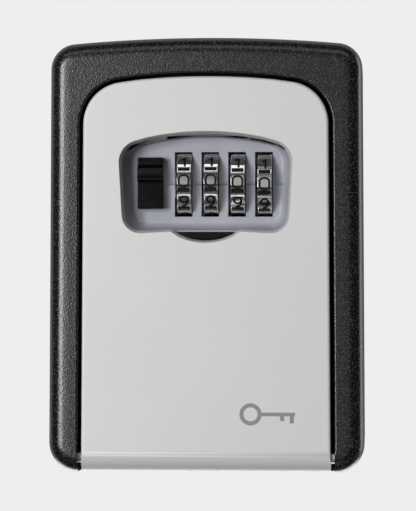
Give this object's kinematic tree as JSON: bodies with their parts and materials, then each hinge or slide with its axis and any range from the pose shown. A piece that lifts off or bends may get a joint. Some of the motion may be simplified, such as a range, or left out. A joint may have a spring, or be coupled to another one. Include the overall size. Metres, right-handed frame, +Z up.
{
  "type": "key lock box",
  "caption": "Wall-mounted key safe: arched die-cast housing with a bottom-hinged door, recessed number dials, ribbed slide button and sliding weather shutter.",
  "frame": {"origin": "centre of the housing's back face, on the wall plane", "axes": "+Z up along the box's height, +Y out of the back face into the wall, +X to the right seen from the front; the door faces -Y"},
  "size_m": [0.086, 0.036, 0.118],
  "materials": {
    "black_powder_coat": "textured black powder coat on zinc die casting",
    "silver_powder_coat": "fine silver-grey powder coat on zinc die casting",
    "satin_bezel": "satin blue-grey metallic paint",
    "nickel": "bright nickel plate",
    "zinc_plate": "zinc plated",
    "spring_steel": "bare spring steel",
    "clutch_brass": "turned",
    "black_plastic": "moulded black plastic"
  },
  "bodies": {
    "housing": {"housing_shell": "black_powder_coat", "hinge_pin": "zinc_plate"},
    "door": {"door_panel": "silver_powder_coat", "dial_bezel": "satin_bezel", "lock_case": "zinc_plate", "detent_spring": "spring_steel", "latch_spring": "spring_steel", "case_screw_1": "zinc_plate", "case_screw_2": "zinc_plate", "case_screw_3": "zinc_plate", "case_screw_4": "zinc_plate", "case_screw_5": "zinc_plate", "case_screw_6": "zinc_plate"},
    "shutter": {"shutter": "black_plastic"},
    "latch": {"latch_slide": "zinc_plate", "release_button": "black_plastic"},
    "reset": {"reset_lever": "spring_steel", "dial_axle": "zinc_plate"},
    "dial_1": {"dial_1": "nickel"},
    "dial_2": {"dial_2": "nickel"},
    "dial_3": {"dial_3": "nickel"},
    "dial_4": {"dial_4": "nickel"},
    "clutch_1": {"clutch_1": "clutch_brass"},
    "clutch_2": {"clutch_2": "clutch_brass"},
    "clutch_3": {"clutch_3": "clutch_brass"},
    "clutch_4": {"clutch_4": "clutch_brass"}
  },
  "joints": [
    {"name": "door_hinge", "type": "hinge", "parent": "housing", "child": "door", "pos_m": [0, -0.032, -0.055], "axis": [1, 0, 0], "range_deg": [0, 100]},
    {"name": "shutter_slide", "type": "slide", "parent": "door", "child": "shutter", "axis": [0, 0, 1], "range_m": [0, 0.0268]},
    {"name": "button_slide", "type": "slide", "parent": "door", "child": "latch", "axis": [0, 0, 1], "range_m": [-0.0033, 0], "stiffness_N_per_m": 900, "springref_m": 0.002, "deforming": ["latch_spring"]},
    {"name": "reset_slide", "type": "slide", "parent": "door", "child": "reset", "axis": [-1, 0, 0], "range_m": [-0.0014, 0]},
    {"name": "dial_1_turn", "type": "hinge", "parent": "door", "child": "dial_1", "pos_m": [-0.0062, -0.0228, 0.0193], "axis": [1, 0, 0], "continuous": true},
    {"name": "dial_2_turn", "type": "hinge", "parent": "door", "child": "dial_2", "pos_m": [0.00113, -0.0228, 0.0193], "axis": [1, 0, 0], "continuous": true},
    {"name": "dial_3_turn", "type": "hinge", "parent": "door", "child": "dial_3", "pos_m": [0.00846, -0.0228, 0.0193], "axis": [1, 0, 0], "continuous": true},
    {"name": "dial_4_turn", "type": "hinge", "parent": "door", "child": "dial_4", "pos_m": [0.01579, -0.0228, 0.0193], "axis": [1, 0, 0], "continuous": true},
    {"name": "clutch_1_slide", "type": "slide", "parent": "dial_1", "child": "clutch_1", "axis": [-1, 0, 0], "range_m": [-0.0014, 0]},
    {"name": "clutch_2_slide", "type": "slide", "parent": "dial_2", "child": "clutch_2", "axis": [-1, 0, 0], "range_m": [-0.0014, 0]},
    {"name": "clutch_3_slide", "type": "slide", "parent": "dial_3", "child": "clutch_3", "axis": [-1, 0, 0], "range_m": [-0.0014, 0]},
    {"name": "clutch_4_slide", "type": "slide", "parent": "dial_4", "child": "clutch_4", "axis": [-1, 0, 0], "range_m": [-0.0014, 0]}
  ],
  "couplings": [
    {"joint": "clutch_1_slide", "follows": "reset_slide", "ratio": 1},
    {"joint": "clutch_2_slide", "follows": "reset_slide", "ratio": 1},
    {"joint": "clutch_3_slide", "follows": "reset_slide", "ratio": 1},
    {"joint": "clutch_4_slide", "follows": "reset_slide", "ratio": 1}
  ]
}
